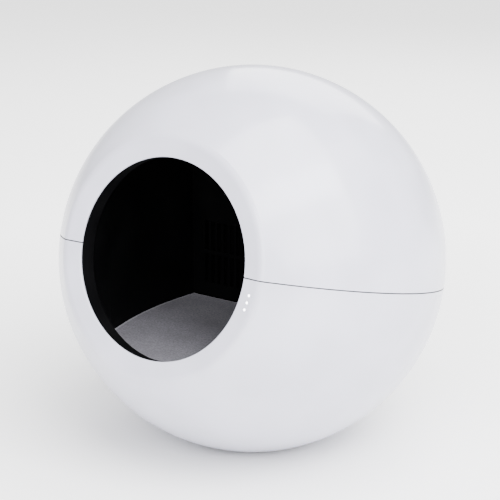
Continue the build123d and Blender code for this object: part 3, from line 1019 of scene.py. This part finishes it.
@dataclass
class Electronics(SubAssembly):
    """The control box with its board, and the power inlet in the base's back."""

    title: str = "electronics"
    nodes: tuple[str, ...] = ("control_box", "control_box_lid", "control_board")
    inlet_node: str = "power_inlet"
    bezel: float = 1.2 * MM
    step: float = 0.5 * MM
    socket_radius: float = 3.2 * MM
    socket_depth: float = 10.0 * MM
    pin_radius: float = 1.0 * MM
    pin_short: float = 1.5 * MM
    edge: float = 0.35 * MM

    def build(self) -> None:
        """Turns the inlet's body with a raised bezel and a flared socket, and its steel pin."""
        low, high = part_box(self.inlet_node)
        radius = (high.x - low.x) / 2
        length = high.y - low.y
        flare = self.socket_radius + 2 * self.step
        floor = length - self.socket_depth
        body = turned(
            [
                (0, 0),
                (radius, 0),
                (radius, length),
                (radius - self.bezel, length),
                (radius - self.bezel, length - self.step),
                (flare, length - self.step),
                (self.socket_radius, length - 3 * self.step),
                (self.socket_radius, floor),
                (0, floor),
            ],
            steps=64,
        )
        soften(body, self.edge)
        tip = length - self.pin_short
        pin = turned([(0, floor), (self.pin_radius, floor), (self.pin_radius, tip), (0, tip)], steps=24)
        soften(pin, self.edge)
        back = Matrix.Translation(((low.x + high.x) / 2, low.y, (low.z + high.z) / 2))
        outwards = back @ Matrix.Rotation(-math.pi / 2, 4, "X")
        for part, name, finish, stands_for in (
            (body, "power_inlet_body", Finish.SENSOR_BLACK, (self.inlet_node,)),
            (pin, "power_inlet_pin", Finish.STEEL, ()),
        ):
            placed = bmesh.new()
            join(placed, part, outwards)
            self.keep(placed, name, (finish,), "base", stands_for)


@dataclass
class WasteDrawer(SubAssembly):
    """The drawer that pulls out at the back, and its rails."""

    title: str = "waste drawer"
    nodes: tuple[str, ...] = (
        "drawer_front",
        "waste_tub",
        "drawer_pull",
        "drawer_rail_left",
        "drawer_rail_right",
    )


@dataclass
class OdourFilter(SubAssembly):
    """The charcoal filter in its holder on the rear beam."""

    title: str = "odour filter"
    nodes: tuple[str, ...] = ("filter_holder", "carbon_filter")


@dataclass
class Supports(SubAssembly):
    """Four feet through the base's floor, each with a load cell on its stem."""

    title: str = "supports"
    nodes: tuple[str, ...] = (
        "load_cell_front_left",
        "load_cell_front_right",
        "load_cell_rear_left",
        "load_cell_rear_right",
    )
    places: tuple[str, ...] = ("front_left", "front_right", "rear_left", "rear_right")
    stem: float = 6.0 * MM
    pad_height: float = 4.4 * MM
    groove_depth: float = 0.8 * MM
    groove_starts: tuple[float, ...] = (0.28, 0.62)
    groove_share: float = 0.16
    edge: float = 0.45 * MM

    def build(self) -> None:
        """Turns each foot with a stem and two ring grooves that grip the floor."""
        for place in self.places:
            node = f"foot_{place}"
            low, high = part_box(node)
            radius = (high.x - low.x) / 2
            height = high.z - low.z
            profile = [(0.0, 0.0)]
            for start in self.groove_starts:
                inner, outer = start * radius, (start + self.groove_share) * radius
                profile += [(inner, 0), (inner, self.groove_depth), (outer, self.groove_depth), (outer, 0)]
            profile += [(radius, 0), (radius, self.pad_height), (self.stem, self.pad_height)]
            foot = turned([*profile, (self.stem, height), (0, height)], steps=64)
            soften(foot, self.edge)
            placed = bmesh.new()
            middle = Vector(((low.x + high.x) / 2, (low.y + high.y) / 2, low.z))
            join(placed, foot, Matrix.Translation(middle))
            self.keep(placed, f"{node}_grooved", (Finish.RUBBER_DARK,), "base", (node,))


# ------------------------------------------------------------------------------------------- stage
@dataclass(frozen=True)
class Softbox:
    """A square soft light: where it stands in degrees and metres, its side and its power in watts."""

    azimuth: float
    elevation: float
    distance: float
    side: float
    power: float


class Lamp(Enum):
    """The studio's soft lights."""

    TOP = Softbox(azimuth=75, elevation=68, distance=2.7, side=2.6, power=205)
    KEY = Softbox(azimuth=75, elevation=35, distance=2.6, side=2.4, power=120)
    FRONT = Softbox(azimuth=25, elevation=25, distance=3.0, side=1.6, power=62)
    REAR = Softbox(azimuth=200, elevation=35, distance=3.0, side=2.0, power=60)


@dataclass
class Studio:
    """Camera, floor, surround and soft lights."""

    distance_radii: float = 8.0
    azimuth: float = 34.8
    elevation: float = 17.4
    lens: float = 110.8
    sensor: float = 36.0
    shift: tuple[float, float] = (-0.0048, 0.0166)
    floor_half: float = 12.0
    surround: float = 1.2

    def direction(self, azimuth: float, elevation: float) -> Vector:
        """A unit vector from the ball towards a place around it.

        Args:
            azimuth: Degrees from the front towards +X.
            elevation: Degrees above the floor's plane.

        Returns:
            The direction in the row frame.
        """
        turn, rise = math.radians(azimuth), math.radians(elevation)
        flat = math.cos(rise)
        return Vector((math.sin(turn) * flat, -math.cos(turn) * flat, math.sin(rise)))

    def build_camera(self) -> None:
        """Makes the scene's camera."""
        data = bpy.data.cameras.new("camera")
        data.lens = self.lens
        data.sensor_width = self.sensor
        data.shift_x, data.shift_y = self.shift
        camera = bpy.data.objects.new("camera", data)
        back = self.direction(self.azimuth, self.elevation)
        camera.location = BALL.centre + back * (BALL.radius * self.distance_radii)
        camera.rotation_euler = (-back).to_track_quat("-Z", "Y").to_euler()
        bpy.context.scene.collection.objects.link(camera)
        bpy.context.scene.camera = camera

    def build_floor(self) -> None:
        """Makes the pale floor that the feet stand on."""
        mesh = bpy.data.meshes.new("floor")
        bm = bmesh.new()
        bmesh.ops.create_grid(bm, x_segments=1, y_segments=1, size=self.floor_half)
        bm.to_mesh(mesh)
        bm.free()
        mesh.materials.append(PaperSweep().build())
        floor = bpy.data.objects.new("floor", mesh)
        bpy.context.scene.collection.objects.link(floor)

    def build_surround(self) -> None:
        """Makes the even white surround."""
        world = bpy.data.worlds.new("surround")
        bpy.context.scene.world = world
        world.use_nodes = True
        background = world.node_tree.nodes["Background"]
        background.inputs["Color"].default_value = srgb(WHITE)
        background.inputs["Strength"].default_value = self.surround

    def build_lamp(self, lamp: Lamp) -> None:
        """Adds a square soft light that faces the ball.

        Args:
            lamp: Which of the studio's lights it is.
        """
        box = lamp.value
        data = bpy.data.lights.new(lamp.name.lower(), "AREA")
        data.shape = "SQUARE"
        data.size = box.side
        data.energy = box.power
        light = bpy.data.objects.new(data.name, data)
        outwards = self.direction(box.azimuth, box.elevation)
        light.location = BALL.centre + outwards * box.distance
        light.rotation_euler = (-outwards).to_track_quat("-Z", "Y").to_euler()
        bpy.context.scene.collection.objects.link(light)

    def build(self) -> None:
        """Makes the whole stage."""
        self.build_camera()
        self.build_floor()
        self.build_surround()
        for lamp in Lamp:
            self.build_lamp(lamp)
        log.info("stage: camera, floor, surround and %d lights", len(Lamp))


def main() -> None:
    """Builds the sub-assemblies and the stage in order, and reports each piece."""
    logging.basicConfig(level=logging.INFO, format="%(message)s")
    groups = (
        Shells(),
        Entry(),
        Chamber(),
        Drum(),
        FrontBearing(),
        RearDrive(),
        Electronics(),
        WasteDrawer(),
        OdourFilter(),
        Supports(),
    )
    for group in groups:
        group.build()
        group.dress()
        group.report()
    Studio().build()


if __name__ == "__main__":
    main()
